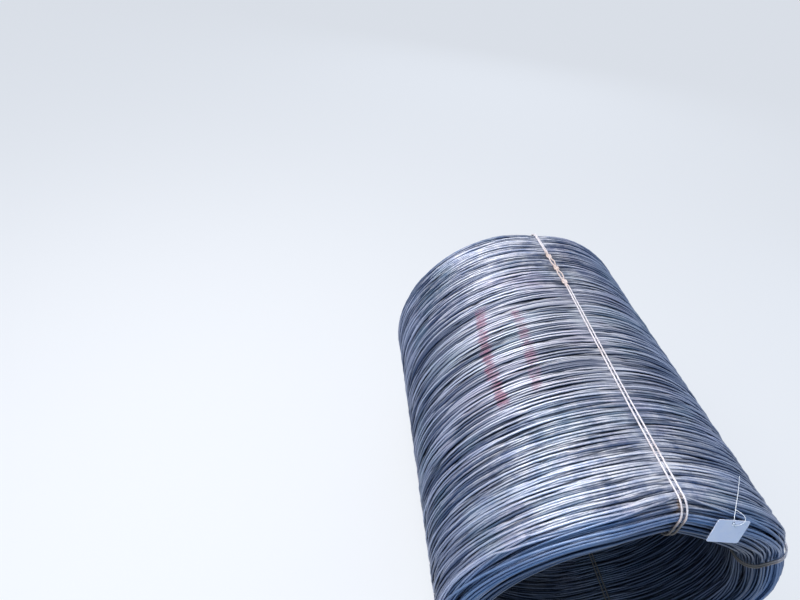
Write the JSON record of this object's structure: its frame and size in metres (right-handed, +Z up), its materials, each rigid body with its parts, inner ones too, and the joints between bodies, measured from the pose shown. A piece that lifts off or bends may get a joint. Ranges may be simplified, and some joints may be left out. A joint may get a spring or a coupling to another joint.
{
  "type": "coil of wire rod",
  "caption": "Large cylindrical coil of hot-rolled steel wire rod lying on its side, open through the middle, bound by doubled tie wires, with a blank tag.",
  "frame": {"origin": "centre of the box around the coil, on the floor that it lies on", "axes": "+Y along the coil's axis, from the end with the tag to the far end; +Z up; +X to the right when the tagged end is seen from in front"},
  "size_m": [1.1999, 1.5125, 1.1999],
  "materials": {
    "rod": "hot-rolled, with blue-grey mill scale and a film of pale dust",
    "tie": "hot-rolled wire with light, dry rust",
    "tag": "matt, bluish white, blank",
    "string": "white twine"
  },
  "bodies": {
    "root": {"wire_rod_coil": "rod", "tie_wire_top": "tie", "tie_wire_right": "tie", "tie_wire_bottom": "tie", "tie_wire_left": "tie", "tag": "tag", "tag_string": "string"}
  },
  "joints": []
}
